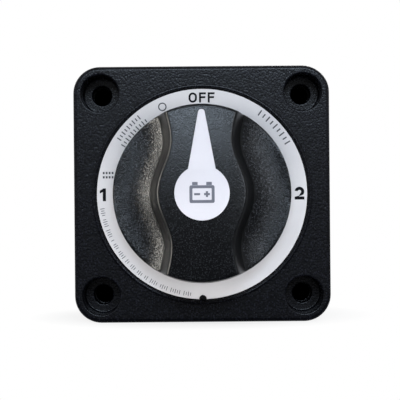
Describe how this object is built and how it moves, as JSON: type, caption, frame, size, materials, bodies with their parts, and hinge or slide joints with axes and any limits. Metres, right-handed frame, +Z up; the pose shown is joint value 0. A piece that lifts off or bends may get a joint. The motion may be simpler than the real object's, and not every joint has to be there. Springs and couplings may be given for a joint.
{
  "type": "battery selector switch",
  "caption": "Square black panel-mount rotary battery selector switch with OFF, 1 and 2 positions, a scooped grip knob, a white legend ring and threaded rear studs.",
  "frame": {"origin": "centre of the rear mounting plane, on the knob's turning axis", "axes": "-Y out of the panel towards the user, +Z up towards the OFF mark, +X to the user's right, where mark 2 is"},
  "size_m": [0.0694, 0.074, 0.0694],
  "materials": {
    "black_plastic": "fine-textured satin black moulding",
    "knob_plastic": "satin black moulding, stippled grip",
    "legend_white": "satin printed label, cool white with black print",
    "pointer_white": "satin white moulding",
    "dark_plastic": "glass-filled dark moulding",
    "natural_nylon": "natural nylon moulding",
    "tinned_copper": "tin plated copper",
    "copper": "bare copper bar",
    "silver_alloy": "silver contact rivet",
    "stainless_steel": "plain stainless steel",
    "black_rubber": "soft black rubber"
  },
  "bodies": {
    "housing": {"front_housing": "black_plastic", "rear_frame": "black_plastic", "side_panel_top": "black_plastic", "side_panel_bottom": "black_plastic", "side_panel_left": "black_plastic", "side_panel_right": "black_plastic", "legend_ring": "legend_white", "contact_base": "dark_plastic", "base_gasket": "black_rubber", "common_bus": "copper", "stud_1": "tinned_copper", "stud_2": "tinned_copper", "stud_common": "tinned_copper", "flat_washer_1": "tinned_copper", "flat_washer_2": "tinned_copper", "flat_washer_common": "tinned_copper", "lock_washer_1": "stainless_steel", "lock_washer_2": "stainless_steel", "lock_washer_common": "stainless_steel", "stud_nut_1": "stainless_steel", "stud_nut_2": "stainless_steel", "stud_nut_common": "stainless_steel", "base_screw_1": "stainless_steel", "base_screw_2": "stainless_steel", "base_screw_3": "stainless_steel", "base_screw_4": "stainless_steel"},
    "rotor": {"rotor": "natural_nylon", "knob": "knob_plastic", "pointer_insert": "pointer_white", "knob_screw": "stainless_steel", "shaft_o_ring": "black_rubber", "contact_spring_centre": "stainless_steel", "contact_spring_outer": "stainless_steel", "detent_spring_left": "stainless_steel", "detent_spring_right": "stainless_steel"},
    "contact_arm": {"contact_arm": "copper", "contact_tip_centre": "silver_alloy", "contact_tip_outer": "silver_alloy"},
    "detent_plunger_left": {"detent_plunger_left": "stainless_steel"},
    "detent_plunger_right": {"detent_plunger_right": "stainless_steel"},
    "rear_cover": {"rear_cover": "dark_plastic"}
  },
  "joints": [
    {"name": "knob_turn", "type": "hinge", "parent": "housing", "child": "rotor", "pos_m": [0, 0, 0], "axis": [0, -1, 0], "range_deg": [-90, 90]},
    {"name": "contact_lift", "type": "slide", "parent": "rotor", "child": "contact_arm", "axis": [0, -1, 0], "range_m": [0, 0.0008], "deforming": ["contact_spring_centre", "contact_spring_outer"]},
    {"name": "detent_left", "type": "slide", "parent": "rotor", "child": "detent_plunger_left", "axis": [-1, 0, 0], "range_m": [0, 0.0009], "deforming": ["detent_spring_left"]},
    {"name": "detent_right", "type": "slide", "parent": "rotor", "child": "detent_plunger_right", "axis": [1, 0, 0], "range_m": [0, 0.0009], "deforming": ["detent_spring_right"]},
    {"name": "cover_off", "type": "slide", "parent": "housing", "child": "rear_cover", "axis": [0, 1, 0], "range_m": [0, 0.03]}
  ]
}
